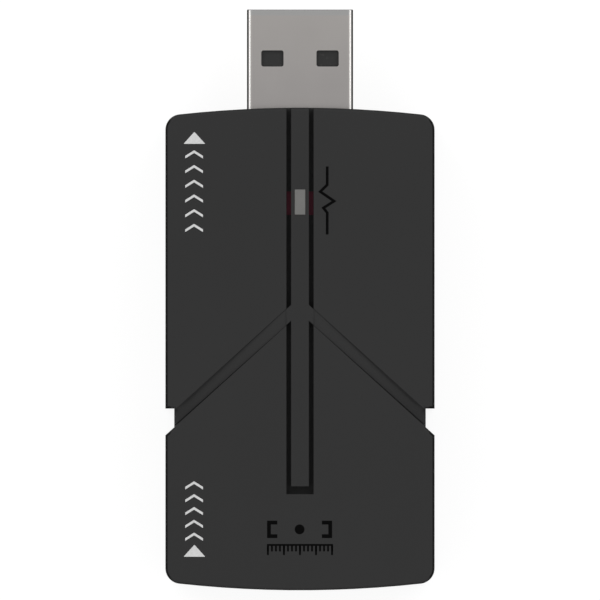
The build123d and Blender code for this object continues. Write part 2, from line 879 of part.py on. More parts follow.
save(socket_contacts(*socket_contact_rows[0]), "socket_upper_contacts")
save(socket_contacts(*socket_contact_rows[1]), "socket_lower_contacts")


# Chips with bent leads

def gull_lead(body_edge, rise, reach, foot, width, thickness):
    """One bent lead that leaves a chip's side at half its height and ends flat on the board."""
    knee = body_edge + (reach - foot) / 2
    heel = body_edge + reach - foot
    with BuildPart() as lead:
        with BuildSketch(across_plane(0, board_top)):
            with BuildLine():
                Polyline(
                    (body_edge, rise),
                    (body_edge, rise + thickness),
                    (knee, rise + thickness),
                    (heel + thickness / 2, thickness),
                    (body_edge + reach, thickness),
                    (body_edge + reach, 0),
                    (heel, 0),
                    (knee - thickness / 2, rise),
                    close=True,
                )
            make_face()
        extrude(amount=width / 2, both=True)
    return lead.part


with BuildPart() as capture_chip:
    with BuildSketch(Plane.XY.offset(board_top + chip_standoff)):
        with Locations((chip_x, chip_y)):
            Rectangle(chip_width, chip_width)
    extrude(amount=chip_height)
    chamfer(capture_chip.faces().sort_by(Axis.Z)[-1].edges(), chip_bevel)
    dot_place = chip_width / 2 - 2 * chip_bevel - chip_dot_radius
    with BuildSketch(Plane.XY.offset(board_top + chip_standoff + chip_height)):
        with Locations((chip_x - dot_place, chip_y + dot_place)):
            Circle(chip_dot_radius)
    extrude(amount=-chip_dot_depth, mode=Mode.SUBTRACT)
save(capture_chip, "capture_chip")

chip_lead = gull_lead(
    chip_width / 2, chip_standoff + chip_height / 2, chip_lead_reach, chip_lead_foot,
    chip_lead_width, chip_lead_thickness,
)
with BuildPart() as capture_chip_leads:
    for turn in range(4):
        with Locations(Location((chip_x, chip_y, 0), (0, 0, turn * quarter_turn))):
            with GridLocations(0, chip_lead_pitch, 1, chip_lead_count):
                add(chip_lead)
save(capture_chip_leads, "capture_chip_leads")

with BuildPart() as memory_chip:
    with BuildSketch(Plane.XY.offset(board_top + chip_standoff)):
        with Locations((memory_x, memory_y)):
            Rectangle(memory_width, memory_length)
    extrude(amount=memory_height)
    top_edges = memory_chip.faces().sort_by(Axis.Z)[-1].edges()
    chamfer(top_edges.filter_by(Axis.Y).sort_by(Axis.X)[0], memory_side_bevel)
save(memory_chip, "memory_chip")

memory_lead = gull_lead(
    memory_width / 2, chip_standoff + memory_height / 2, memory_lead_reach, memory_lead_foot,
    memory_lead_width, memory_lead_thickness,
)
with BuildPart() as memory_chip_leads:
    for turn in range(2):
        with Locations(Location((memory_x, memory_y, 0), (0, 0, 2 * turn * quarter_turn))):
            with GridLocations(0, memory_lead_pitch, 1, memory_lead_count):
                add(memory_lead)
save(memory_chip_leads, "memory_chip_leads")

with BuildPart() as voltage_regulator:
    with BuildSketch(Plane.XY.offset(board_top + chip_standoff)):
        with Locations((regulator_x, regulator_y)):
            Rectangle(regulator_width, regulator_length)
    extrude(amount=regulator_height)
    chamfer(voltage_regulator.faces().sort_by(Axis.Z)[-1].edges(), chip_bevel)
save(voltage_regulator, "voltage_regulator")

regulator_lead = gull_lead(
    regulator_width / 2, chip_standoff + regulator_height / 2, regulator_lead_reach,
    regulator_lead_foot, regulator_lead_width, regulator_lead_thickness,
)
with BuildPart() as voltage_regulator_leads:
    for turn, pitch, count in ((0, regulator_lead_pitch, 3), (2, 2 * regulator_lead_pitch, 2)):
        with Locations(Location((regulator_x, regulator_y, 0), (0, 0, turn * quarter_turn))):
            with GridLocations(0, pitch, 1, count):
                add(regulator_lead)
save(voltage_regulator_leads, "voltage_regulator_leads")


# Clock crystal: a ceramic tray with a soldered metal lid

with BuildPart() as crystal_base:
    with BuildSketch(Plane.XY.offset(board_top)) as base_plan:
        with Locations((crystal_x, crystal_y)):
            Rectangle(crystal_width, crystal_length)
        chamfer(base_plan.vertices(), crystal_corner_bevel)
    extrude(amount=crystal_base_height)
save(crystal_base, "crystal_base")

with BuildPart() as crystal_lid:
    with BuildSketch(Plane.XY.offset(board_top + crystal_base_height)) as lid_plan:
        with Locations((crystal_x, crystal_y)):
            Rectangle(
                crystal_width - 2 * crystal_lid_inset, crystal_length - 2 * crystal_lid_inset
            )
        chamfer(lid_plan.vertices(), crystal_corner_bevel)
    extrude(amount=crystal_lid_height)
save(crystal_lid, "crystal_lid")


# Power inductor: a block pressed from metal powder round its coil, with a terminal bent up each side

inductor_body_width = inductor_width - 2 * inductor_terminal_thickness

with BuildPart() as inductor_body:
    with BuildSketch(Plane.XY.offset(board_top + inductor_terminal_thickness)) as block_plan:
        with Locations((inductor_x, inductor_y)):
            Rectangle(inductor_body_width, inductor_length)
        chamfer(block_plan.vertices(), inductor_bevel)
    extrude(amount=inductor_height - inductor_terminal_thickness)
save(inductor_body, "inductor_body")

with BuildPart() as inductor_terminals:
    for side in (-1, 1):
        outer_x = inductor_x + side * inductor_width / 2
        with BuildSketch(across_plane(inductor_y, board_top)):
            with BuildLine():
                Polyline(
                    (outer_x, 0),
                    (outer_x, inductor_terminal_rise),
                    (outer_x - side * inductor_terminal_thickness, inductor_terminal_rise),
                    (outer_x - side * inductor_terminal_thickness, inductor_terminal_thickness),
                    (outer_x - side * inductor_terminal_foot, inductor_terminal_thickness),
                    (outer_x - side * inductor_terminal_foot, 0),
                    close=True,
                )
            make_face()
        extrude(amount=inductor_terminal_width / 2, both=True)
save(inductor_terminals, "inductor_terminals")


# Small chip parts: each is a ceramic body between two metal end caps

def save_chip_parts(places, length, width, height, cap, body_name, caps_name):
    """Two groups of solids, the bodies and the end caps of equal chip parts at the given places."""
    with BuildPart() as bodies:
        with BuildSketch(Plane.XY.offset(board_top)):
            with Locations(*places):
                Rectangle(length - 2 * cap, width)
        extrude(amount=height)
    with BuildPart() as caps:
        with BuildSketch(Plane.XY.offset(board_top)):
            with Locations(*places):
                with GridLocations(length - cap, 0, 2, 1):
                    Rectangle(cap, width)
        extrude(amount=height)
    save(bodies, body_name)
    save(caps, caps_name)


capacitor_places = [board_place(shares) for shares in capacitor_place_shares]
resistor_places = [
    ((number - (resistor_count - 1) / 2) * resistor_pitch, resistor_y)
    for number in range(resistor_count)
]
save_chip_parts(
    capacitor_places, capacitor_length, capacitor_width, capacitor_height, capacitor_cap,
    "ceramic_capacitors", "capacitor_end_caps",
)
save_chip_parts(
    resistor_places, resistor_length, resistor_width, resistor_height, resistor_cap,
    "chip_resistors", "resistor_end_caps",
)

with BuildPart() as esd_arrays:
    with BuildSketch(Plane.XY.offset(board_top)):
        with Locations((0, esd_y)):
            with GridLocations(esd_spacing, 0, 2, 1):
                Rectangle(esd_width, esd_length)
    extrude(amount=esd_height)
save(esd_arrays, "esd_arrays")

with BuildPart() as plug_choke:
    with BuildSketch(Plane.XY.offset(board_top)):
        with Locations((0, choke_y)):
            Rectangle(choke_width, choke_length)
    extrude(amount=choke_height)
    chamfer(plug_choke.faces().sort_by(Axis.Z)[-1].edges(), choke_bevel)
save(plug_choke, "plug_choke")


# Indicator: a ceramic base with a clear lens, under the stem of the light pipe

with BuildPart() as status_led:
    with BuildSketch(Plane.XY.offset(board_top)):
        with Locations((0, pipe_strip_y)):
            Rectangle(led_width, led_length)
    extrude(amount=led_base_height)
save(status_led, "status_led")

with BuildPart() as status_led_lens:
    with BuildSketch(Plane.XY.offset(board_top + led_base_height)):
        with Locations((0, pipe_strip_y)):
            Rectangle(led_width - 2 * led_lens_inset, led_length)
    extrude(amount=led_lens_height)
save(status_led_lens, "status_led_lens")
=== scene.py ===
# %% [markdown]
# A video capture box, dressed for its portrait
#
# The real object is a black moulded stick, about 66 mm long: a computer plug at one end, a video
# socket at the other, and a long rail with a small lamp window in between. Its solids come from
# the CAD model, which holds every size. This script adds what the CAD can't hold: the finish of
# each material, the thin printed marks, the light and the camera. Blender's unit here is the
# metre, so sizes in millimetres are multiplied by one named unit.

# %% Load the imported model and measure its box
import math

import bmesh
import bpy
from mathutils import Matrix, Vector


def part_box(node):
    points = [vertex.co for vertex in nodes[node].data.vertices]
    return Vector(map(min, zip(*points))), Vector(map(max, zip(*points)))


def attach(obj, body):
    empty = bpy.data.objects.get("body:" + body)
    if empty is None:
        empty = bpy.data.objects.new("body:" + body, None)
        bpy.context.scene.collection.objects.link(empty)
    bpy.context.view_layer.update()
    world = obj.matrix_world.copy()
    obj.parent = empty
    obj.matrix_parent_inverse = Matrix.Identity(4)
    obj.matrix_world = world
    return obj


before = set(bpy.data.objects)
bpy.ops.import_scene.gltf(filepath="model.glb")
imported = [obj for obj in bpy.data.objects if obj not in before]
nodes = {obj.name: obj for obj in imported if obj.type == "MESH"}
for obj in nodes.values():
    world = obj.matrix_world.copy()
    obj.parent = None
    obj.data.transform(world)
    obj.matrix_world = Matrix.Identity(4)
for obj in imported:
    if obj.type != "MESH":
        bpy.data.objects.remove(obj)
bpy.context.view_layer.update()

mm = 0.001

# %% [markdown]
# The photograph looks straight down on the top. Its plug is 12 mm wide and 106.3 pixels wide, so
# every pixel is worth the same length on the object. A pixel's place is turned into millimetres
# with one short function, and each printed mark is placed by the pixels of the photograph.

# %% Turn a pixel of the photograph into a place on the top
pixels_per_mm = 8.856
picture_middle_x = 300.0
housing_middle_y = 349.03
picture_size = 600.0


def photo_x(pixel):
    return (pixel - picture_middle_x) / pixels_per_mm * mm


def photo_y(pixel):
    return (housing_middle_y - pixel) / pixels_per_mm * mm


top_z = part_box("top_shell")[1][2]
print("the top lies at", round(top_z / mm, 3), "mm")

# %% [markdown]
# Every finish below starts the same way: a new material, its Principled shader, and the Object
# coordinates of the piece, which are in metres and stay put on the surface from any side. A small
# recipe class keeps the node wiring short, so that each material cell shows only its own idea.

# %% A small recipe for building a finish
def arithmetic(tree, operation, first, second=None):
    """One step of arithmetic on a node's output, with a number or with another output."""
    step = tree.nodes.new("ShaderNodeMath")
    step.operation = operation
    tree.links.new(first, step.inputs[0])
    if isinstance(second, float):
        step.inputs[1].default_value = second
    elif second is not None:
        tree.links.new(second, step.inputs[1])
    return step.outputs["Value"]


class Finish:
    """A material with short names for the nodes that a finish is made of."""

    def __init__(self, name):
        self.material = bpy.data.materials.new(name)
        self.material.use_nodes = True
        self.tree = self.material.node_tree
        self.shader = self.tree.nodes["Principled BSDF"]
        self.place = self.add("ShaderNodeTexCoord").outputs["Object"]

    def add(self, kind, **settings):
        node = self.tree.nodes.new(kind)
        for setting, value in settings.items():
            setattr(node, setting, value)
        return node

    def join(self, output, socket):
        self.tree.links.new(output, socket)

    def along(self, axis):
        """How far along X, Y or Z of the object a point lies, in metres."""
        parts = self.add("ShaderNodeSeparateXYZ")
        self.join(self.place, parts.inputs["Vector"])
        return parts.outputs[axis]

    def stretch(self, grains_per_metre):
        """The place, scaled by one number, or by one for each direction."""
        if not isinstance(grains_per_metre, tuple):
            grains_per_metre = (grains_per_metre,) * 3
        mapping = self.add("ShaderNodeMapping")
        mapping.inputs["Scale"].default_value = grains_per_metre
        self.join(self.place, mapping.inputs["Vector"])
        return mapping.outputs["Vector"]

    def noise(self, grains_per_metre, detail=2.0):
        """Soft random grain between 0 and 1, as fine as its stretch says."""
        grain = self.add("ShaderNodeTexNoise")
        grain.inputs["Scale"].default_value = 1.0
        grain.inputs["Detail"].default_value = detail
        self.join(self.stretch(grains_per_metre), grain.inputs["Vector"])
        return grain.outputs["Fac"]

    def between(self, amount, low, high, start=0.3, stop=0.7):
        """A number that goes from low to high as the amount goes from start to stop."""
        ramp = self.add("ShaderNodeMapRange")
        ramp.inputs["From Min"].default_value = start
        ramp.inputs["From Max"].default_value = stop
        ramp.inputs["To Min"].default_value = low
        ramp.inputs["To Max"].default_value = high
        self.join(amount, ramp.inputs["Value"])
        return ramp.outputs["Result"]

    def blend(self, amount, first, second):
        """A colour between two others. Either one may be a colour or another node's output."""
        mix = self.add("ShaderNodeMix", data_type="RGBA")
        self.join(amount, mix.inputs["Factor"])
        for socket, colour in ((mix.inputs[6], first), (mix.inputs[7], second)):
            if isinstance(colour, tuple):
                socket.default_value = (*colour, 1.0)
            else:
                self.join(colour, socket)
        return mix.outputs[2]

    def bends(self, wall, flat):
        """1 where the surface bends from its walls over to its flats, and 0 on both of them.

        Each pair gives the upward share of the direction that the surface faces in, between
        which the wall or the flat fades into the bend.
        """
        facing = self.add("ShaderNodeSeparateXYZ")
        self.join(self.add("ShaderNodeNewGeometry").outputs["Normal"], facing.inputs["Vector"])
        past_wall = self.between(facing.outputs["Z"], 0.0, 1.0, *wall)
        before_flat = self.between(facing.outputs["Z"], 1.0, 0.0, *flat)
        return arithmetic(self.tree, "MULTIPLY", past_wall, before_flat)

    def bump(self, height, depth, strength=1.0):
        """Grain that the light can feel, with its depth in metres."""
        relief = self.add("ShaderNodeBump")
        relief.inputs["Strength"].default_value = strength
        relief.inputs["Distance"].default_value = depth
        self.join(height, relief.inputs["Height"])
        self.join(relief.outputs["Normal"], self.shader.inputs["Normal"])

    def gloss(self, metallic=0.0, specular=0.5, **more):
        """The settings that are the same all over the surface."""
        self.shader.inputs["Metallic"].default_value = metallic
        self.shader.inputs["Specular IOR Level"].default_value = specular
        for socket, value in more.items():
            self.shader.inputs[socket.replace("_", " ")].default_value = value

    def colour(self, output):
        self.join(output, self.shader.inputs["Base Color"])

    def roughness(self, output):
        self.join(output, self.shader.inputs["Roughness"])


def dress(finish, *names):
    """Give CAD nodes a finish in place of the plain one that they came with."""
    for name in names:
        for slot in nodes[name].material_slots:
            slot.material = finish.material
    print(finish.material.name, "on", ", ".join(names))

# %% [markdown]
# The housing is moulded in black plastic, in a steel tool whose walls were spark eroded, so it has
# a fine even grain that scatters the light and keeps fingerprints away. The grain is a noise with
# about ten grains to the millimetre, as bump and as roughness. A second, much wider noise shifts
# the colour a little, as the flow of the plastic does. Faces that slant away from straight up are
# painted darker, as painted shade, and along the two long sides the rounded edges are painted
# nearly black, as painted shade.

# %% The housing's moulded plastic
plastic = Finish("moulded_black_plastic")
plastic.gloss(specular=0.12)
spark_grain = plastic.noise(9000, detail=3)
flow = plastic.noise((90, 45, 90))
grained = plastic.blend(flow, (0.0293, 0.0293, 0.0294), (0.0317, 0.0317, 0.0318))
# painted shade: faces that slant away from straight up get a darker colour
slope_shade_mask = plastic.bends(wall=(0.06, 0.16), flat=(0.45, 0.92))
shade_painted_on_slopes = plastic.blend(slope_shade_mask, grained, (0.011, 0.011, 0.011))
# painted shade: rounded edges get a nearly black colour
edge_shade_mask = plastic.bends(wall=(0.06, 0.16), flat=(0.92, 0.97))
shade_painted_on_edges = plastic.blend(edge_shade_mask, grained, (0.003, 0.003, 0.003))

# painted shade: along the two long sides, the nearly black rounded edges replace the darker slopes
side_edge_start = 14.5 * mm
side_edge_full = 14.7 * mm
from_middle = arithmetic(plastic.tree, "ABSOLUTE", plastic.along("X"))
on_long_side = plastic.between(from_middle, 0.0, 1.0, side_edge_start, side_edge_full)
plastic.colour(plastic.blend(on_long_side, shade_painted_on_slopes, shade_painted_on_edges))
plastic.roughness(plastic.between(spark_grain, 0.56, 0.66))
plastic.bump(spark_grain, 0.006 * mm, strength=0.35)
dress(plastic, "top_shell", "bottom_shell")

# %% [markdown]
# Both connectors are bent from thin steel sheet with a nickel plating. Rolling leaves faint lines
# along the sheet, so the grain is stretched along Y until it is many times longer than it is wide.
# The plating itself is a warm grey that is a little duller in places. It is painted a little
# lighter towards the tip and darker towards the box, as painted light and shade, and the lip at the
# tip was pressed once more, which left it a cooler grey.
# The middle of each bend is painted nearly black, as a painted dark reflection, and the tint of its
# gloss is lowered there, so it shines less at a glancing angle. Where the bend meets the flat, a
# fine near-white line is painted on, as a painted highlight.

# %% Nickel plating on the connector shells
nickel = Finish("nickel_plated_sheet")
nickel.gloss(metallic=1.0)
rolling_lines = nickel.noise((16000, 400, 16000), detail=3)
dull_patches = nickel.noise((260, 180, 260))
darker_painted_plating = nickel.blend(dull_patches, (0.650, 0.620, 0.603), (0.708, 0.676, 0.657))
lighter_painted_plating = nickel.blend(dull_patches, (0.720, 0.687, 0.660), (0.782, 0.747, 0.716))

# painted light and shade: the plating is painted lighter towards the tip and darker towards the box
painted_light_starts = 29.8 * mm
painted_light_full = 37.6 * mm
lip_starts = 37.65 * mm
lip_full = 37.80 * mm
painted_light_towards_tip = nickel.between(nickel.along("Y"), 0.0, 1.0, painted_light_starts, painted_light_full)
on_lip = nickel.between(nickel.along("Y"), 0.0, 1.0, lip_starts, lip_full)
plating = nickel.blend(painted_light_towards_tip, darker_painted_plating, lighter_painted_plating)
plating_and_lip = nickel.blend(on_lip, plating, (0.709, 0.708, 0.699))

# painted highlight: a near-white line where each bend meets the flat
painted_highlight_mask = nickel.bends(wall=(0.70, 0.80), flat=(0.90, 0.93))
plating_with_painted_highlight = nickel.blend(painted_highlight_mask, plating_and_lip, (0.98, 0.96, 0.94))
# painted dark reflection: the middle of each bend is painted nearly black, with a lowered gloss
# tint
dark_reflection_mask = nickel.bends(wall=(0.03, 0.10), flat=(0.66, 0.78))
nickel.colour(nickel.blend(dark_reflection_mask, plating_with_painted_highlight, (0.075, 0.073, 0.071)))
glancing_tint = nickel.blend(dark_reflection_mask, (0.5, 0.5, 0.5), (0.1, 0.1, 0.1))
nickel.join(glancing_tint, nickel.shader.inputs["Specular Tint"])
nickel.roughness(nickel.between(rolling_lines, 0.15, 0.21))
nickel.bump(rolling_lines, 0.003 * mm, strength=0.12)
dress(nickel, "plug_shell", "socket_shell")

# %% [markdown]
# The contacts are stamped from copper alloy and plated with a few tenths of a micrometre of gold,
# only where they touch. Gold is a metal whose colour sits in its reflection, so the base colour
# carries the yellow and there is no clear coat. Faint stamping lines run along each strip.

# %% Gold on the contacts
gold = Finish("gold_plating")
gold.gloss(metallic=1.0)
stamping_lines = gold.noise((26000, 900, 26000), detail=3)
thin_spots = gold.noise((1400, 700, 1400))
gold.colour(gold.blend(thin_spots, (0.80, 0.55, 0.20), (0.92, 0.70, 0.31)))
gold.roughness(gold.between(stamping_lines, 0.18, 0.30))
gold.bump(stamping_lines, 0.002 * mm, strength=0.3)
dress(gold, "plug_contacts", "socket_upper_contacts", "socket_lower_contacts")

# %% [markdown]
# Inside both connectors the contacts lie in black nylon with short glass fibres in it. The fibres
# lie along the flow and show as pale specks just under the skin, which a stretched noise gives
# when only its highest part is let through.

# %% Glass-filled nylon inside the connectors
nylon = Finish("glass_filled_nylon")
nylon.gloss(specular=0.4)
fibres = nylon.noise((14000, 2600, 14000), detail=4)
fibre_specks = nylon.between(fibres, 0.0, 1.0, start=0.62, stop=0.74)
nylon.colour(nylon.blend(fibre_specks, (0.020, 0.020, 0.020), (0.075, 0.073, 0.070)))
nylon.roughness(nylon.between(fibres, 0.38, 0.52))
nylon.bump(fibres, 0.003 * mm, strength=0.3)
dress(nylon, "plug_insulator", "socket_insulator")

# %% [markdown]
# The status window is a small block of clear plastic with a frosted face, so that the lamp below
# it spreads into an even glow. Frosting is roughness: the light goes in and out, but no picture
# comes through. A little transmission lets the dark pipe below tint it grey.

# %% Frosted plastic of the status window
frosted = Finish("frosted_window")
frosted.gloss(specular=0.45, Transmission_Weight=0.12)
frosting = frosted.noise(16000, detail=3)
cloud = frosted.noise((1100, 700, 1100))
frosted.colour(frosted.blend(cloud, (0.154, 0.153, 0.148), (0.196, 0.194, 0.188)))
frosted.roughness(frosted.between(frosting, 0.40, 0.56))
frosted.bump(frosting, 0.003 * mm, strength=0.4)
dress(frosted, "status_window")

# %% [markdown]
# The light pipe is pressed into the roof from below and shows at the bottom of both grooves. It is
# plastic dyed a deep red, so dark that it only glows where the lamp shines through it, and its
# moulded face is a little softer than glass.

# %% Dyed plastic of the light pipe
ruby = Finish("dyed_red_pipe")
ruby.gloss(specular=0.15)
dye = ruby.noise(1500)
skin = ruby.noise(9000)
ruby.colour(ruby.blend(dye, (0.100, 0.0115, 0.026), (0.142, 0.017, 0.037)))
ruby.roughness(ruby.between(skin, 0.28, 0.40))
dress(ruby, "status_light_pipe")

# %% [markdown]
# The circuit board can't be seen from outside, but anyone who takes the roof off meets it. It is
# glass cloth in resin under green lacquer. Copper tracks show through the lacquer as lighter
# lines, which two wave textures across each other give, and the glass cloth is a fine weave.

# %% Green lacquer over copper tracks
lacquer = Finish("green_board_lacquer")
lacquer.gloss(specular=0.5)
track_sets = []
for track_direction in ("X", "Y"):
    tracks = lacquer.add("ShaderNodeTexWave", bands_direction=track_direction)
    tracks.inputs["Scale"].default_value = 1.0
    tracks.inputs["Distortion"].default_value = 1.5
    lacquer.join(lacquer.stretch(170), tracks.inputs["Vector"])
    track_sets.append(lacquer.between(tracks.outputs["Fac"], 0.0, 1.0, start=0.86, stop=0.92))
on_track = arithmetic(lacquer.tree, "MAXIMUM", *track_sets)
weave = lacquer.add("ShaderNodeTexChecker")
weave.inputs["Scale"].default_value = 2500
lacquer.join(lacquer.place, weave.inputs["Vector"])
bare_lacquer = lacquer.blend(weave.outputs["Fac"], (0.008, 0.050, 0.022), (0.010, 0.062, 0.028))
lacquer.colour(lacquer.blend(on_track, bare_lacquer, (0.024, 0.125, 0.052)))
lacquer.roughness(lacquer.between(lacquer.noise(900), 0.22, 0.34))
lacquer.bump(on_track, 0.03 * mm, strength=0.5)
dress(lacquer, "circuit_board")

# %% [markdown]
# The chips are cast in black epoxy full of quartz powder, which leaves a dull skin with tiny pale
# grains. The pressed inductor and the noise filter are ferrite: greyer, and coarser in the grain.
# Both are the same recipe with other numbers, so one function makes them.

# %% Powder-filled black bodies
def powdered_body(name, dark, pale, grains_per_metre, roughest):
    body = Finish(name)
    body.gloss(specular=0.4)
    powder = body.noise(grains_per_metre, detail=4)
    pale_grains = body.between(powder, 0.0, 1.0, start=0.58, stop=0.72)
    body.colour(body.blend(pale_grains, dark, pale))
    body.roughness(body.between(powder, roughest - 0.12, roughest))
    body.bump(powder, 0.004 * mm, strength=0.4)
    return body


epoxy = powdered_body("chip_epoxy", (0.014, 0.014, 0.015), (0.045, 0.045, 0.046), 11000, 0.60)
ferrite = powdered_body("pressed_ferrite", (0.040, 0.040, 0.044), (0.085, 0.085, 0.090), 7000, 0.75)
glaze = powdered_body("resistor_glaze", (0.012, 0.012, 0.014), (0.030, 0.030, 0.034), 15000, 0.35)
dress(epoxy, "capture_chip", "memory_chip", "voltage_regulator", "esd_arrays")
dress(ferrite, "inductor_body", "plug_choke")
dress(glaze, "chip_resistors")

# %% [markdown]
# Leads and end caps are tinned. Tin that has been through the oven is soft and cloudy, with small
# bright and dull islands where it set. The crystal's lid is plated and rolled, so it is smoother.

# %% Tinned leads and the crystal's lid
def cloudy_metal(name, dull, bright, islands_per_metre, smooth, rough):
    metal = Finish(name)
    metal.gloss(metallic=1.0)
    islands = metal.noise(islands_per_metre, detail=3)
    metal.colour(metal.blend(islands, dull, bright))
    metal.roughness(metal.between(islands, rough, smooth))
    metal.bump(islands, 0.004 * mm, strength=0.3)
    return metal


tin = cloudy_metal("reflowed_tin", (0.50, 0.50, 0.51), (0.78, 0.78, 0.79), 5200, 0.22, 0.46)
lid = cloudy_metal("crystal_lid_plating", (0.66, 0.64, 0.60), (0.78, 0.76, 0.71), 2400, 0.16, 0.30)
dress(tin, "capture_chip_leads", "memory_chip_leads", "voltage_regulator_leads",
      "inductor_terminals", "capacitor_end_caps", "resistor_end_caps")
dress(lid, "crystal_lid")

# %% [markdown]
# Fired ceramic is matt and slightly uneven in colour, like an unglazed pot. The capacitors are
# tan, the crystal's tray is a paler brown, and the lamp's base is nearly white.

# %% Fired ceramic and the lamp
def fired_ceramic(name, dark, pale, roughest):
    ceramic = Finish(name)
    ceramic.gloss(specular=0.4)
    mottle = ceramic.noise(3800, detail=4)
    ceramic.colour(ceramic.blend(mottle, dark, pale))
    ceramic.roughness(ceramic.between(mottle, roughest - 0.15, roughest))
    ceramic.bump(mottle, 0.004 * mm, strength=0.3)
    return ceramic


tan = fired_ceramic("capacitor_ceramic", (0.26, 0.155, 0.085), (0.38, 0.245, 0.145), 0.62)
tray = fired_ceramic("crystal_tray_ceramic", (0.38, 0.30, 0.18), (0.50, 0.41, 0.27), 0.70)
lamp_base = fired_ceramic("lamp_base_ceramic", (0.62, 0.62, 0.60), (0.76, 0.76, 0.74), 0.55)
dress(tan, "ceramic_capacitors")
dress(tray, "crystal_base")
dress(lamp_base, "status_led")

lens = Finish("lamp_lens")
lens.gloss(specular=0.5, Transmission_Weight=0.5)
lens_cloud = lens.noise(5000)
lens.colour(lens.blend(lens_cloud, (0.48, 0.045, 0.040), (0.62, 0.075, 0.060)))
lens.roughness(lens.between(lens_cloud, 0.12, 0.24))
dress(lens, "status_led_lens")

# %% [markdown]
# The marks on the top are pad printed: a soft pad lays down ink about a hundredth of a millimetre
# thick, with slightly soft edges. Each mark is a thin sheet of its own here, standing that far
# above the plastic. The ink is not quite even, so a fine noise thins it in places.

# %% Two inks, and how thick they lie
ink_sink = 0.003 * mm
ink_stand = 0.015 * mm
same_place = 0.00001 * mm


def printed_ink(name, thin_grey, full_grey, specular):
    ink = Finish(name)
    ink.gloss(specular=specular)
    cover = ink.noise(5200, detail=3)
    ink.colour(ink.blend(cover, (thin_grey,) * 3, (full_grey,) * 3))
    ink.roughness(ink.between(cover, 0.48, 0.60))
    ink.bump(cover, 0.003 * mm, strength=0.3)
    return ink


white_ink = printed_ink("white_printing_ink", 0.53, 0.71, specular=0.3)
black_ink = printed_ink("black_printing_ink", 0.0008, 0.0018, specular=0.05)

# %% [markdown]
# Every mark is shaped flat around the scene's origin and then finished in the same four steps:
# a Solidify modifier gives the ink its thickness, the mesh is moved to its place and joined to
# the object's origin, the faces are turned outwards, and the piece is told to ride on the box.

# %% Helpers to start, select and finish a mark
def start_clean():
    if bpy.context.object and bpy.context.object.mode != "OBJECT":
        bpy.ops.object.mode_set(mode="OBJECT")
    bpy.ops.object.select_all(action="DESELECT")


def flat_bar(width, height, x, y):
    """A flat face of this size with its middle at this place, left open in edit mode."""
    start_clean()
    bpy.ops.mesh.primitive_plane_add(size=1, location=(0, 0, 0))
    bpy.ops.object.mode_set(mode="EDIT")
    bpy.ops.transform.resize(value=(width, height, 1))
    bpy.ops.transform.translate(value=(x, y, 0))
    return bpy.context.object


def pick_vertices(piece, wanted):
    """In edit mode, select just the vertices whose place passes a test."""
    bpy.ops.mesh.select_all(action="DESELECT")
    mesh = bmesh.from_edit_mesh(piece.data)
    for vertex in mesh.verts:
        vertex.select = wanted(vertex.co)
    mesh.select_flush_mode()
    bmesh.update_edit_mesh(piece.data)


def apply_modifier(piece, kind, **settings):
    """Add a modifier to the piece in hand and make its result real."""
    modifier = piece.modifiers.new(kind.title(), kind)
    for setting, value in settings.items():
        setattr(modifier, setting, value)
    bpy.ops.object.modifier_apply(modifier=modifier.name)


def finish_mark(piece, name, ink, x=0.0, y=0.0):
    """Give the flat mark its thickness, its place, its ink and its ride."""
    piece.name = name
    piece.data.name = name
    apply_modifier(piece, "SOLIDIFY", thickness=ink_stand + ink_sink, offset=1.0)
    piece.location = (x, y, top_z - ink_sink)
    bpy.ops.object.transform_apply(location=True, rotation=True, scale=True)
    bpy.ops.object.mode_set(mode="EDIT")
    bpy.ops.mesh.select_all(action="SELECT")
    bpy.ops.mesh.remove_doubles(threshold=same_place)
    bpy.ops.mesh.normals_make_consistent(inside=False)
    bpy.ops.object.mode_set(mode="OBJECT")
    piece.data.materials.append(ink.material)
    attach(piece, "root")
    print(name, "has", len(piece.data.polygons), "faces")

# %% [markdown]
# Two white arrowheads show which way the signal runs, both pointing at the computer plug. A
# circle with three corners is already a triangle: it is stretched to the arrow's own width and
# height, and its corners are cut a little, because ink never ends in a needle point.

# %% The two white arrowheads
arrow_x = photo_x(194.4)
arrow_half_width = 1.22 * mm
arrow_height = 1.355 * mm
arrow_corner = 0.07 * mm
arrow_tips = {"front_arrow_print": photo_y(132.1), "rear_arrow_print": photo_y(545.0)}

for arrow_name, tip_y in arrow_tips.items():
    start_clean()
    bpy.ops.mesh.primitive_circle_add(
        vertices=3, radius=arrow_height / 1.5, fill_type="NGON", location=(0, 0, 0)
    )
    arrow = bpy.context.object
    bpy.ops.object.mode_set(mode="EDIT")
    bpy.ops.mesh.select_all(action="SELECT")
    widening = arrow_half_width / (arrow_height / math.sqrt(3))
    bpy.ops.transform.resize(value=(widening, 1, 1))
    bpy.ops.mesh.bevel(offset=arrow_corner, segments=2, affect="VERTICES")
    bpy.ops.object.mode_set(mode="OBJECT")
    highest = max(vertex.co.y for vertex in arrow.data.vertices)
    finish_mark(arrow, arrow_name, white_ink, arrow_x, tip_y - highest)

# %% [markdown]
# Below each arrowhead comes a row of white chevrons that point the same way. One arm is a plain
# face whose outer side is pulled down, a Mirror modifier gives the second arm, and an Array
# modifier repeats the chevron down the row. Modelling one and repeating it keeps them all alike.

# %% Two rows of white chevrons
chevron_x = photo_x(194.1)
chevron_half_width = 1.0 * mm
chevron_drop = 0.62 * mm
chevron_stroke = 0.30 * mm
chevron_rows = {
    "front_chevron_print": (6, photo_y(150.3), photo_y(232.0)),
    "rear_chevron_print": (5, photo_y(481.3), photo_y(540.8)),
}

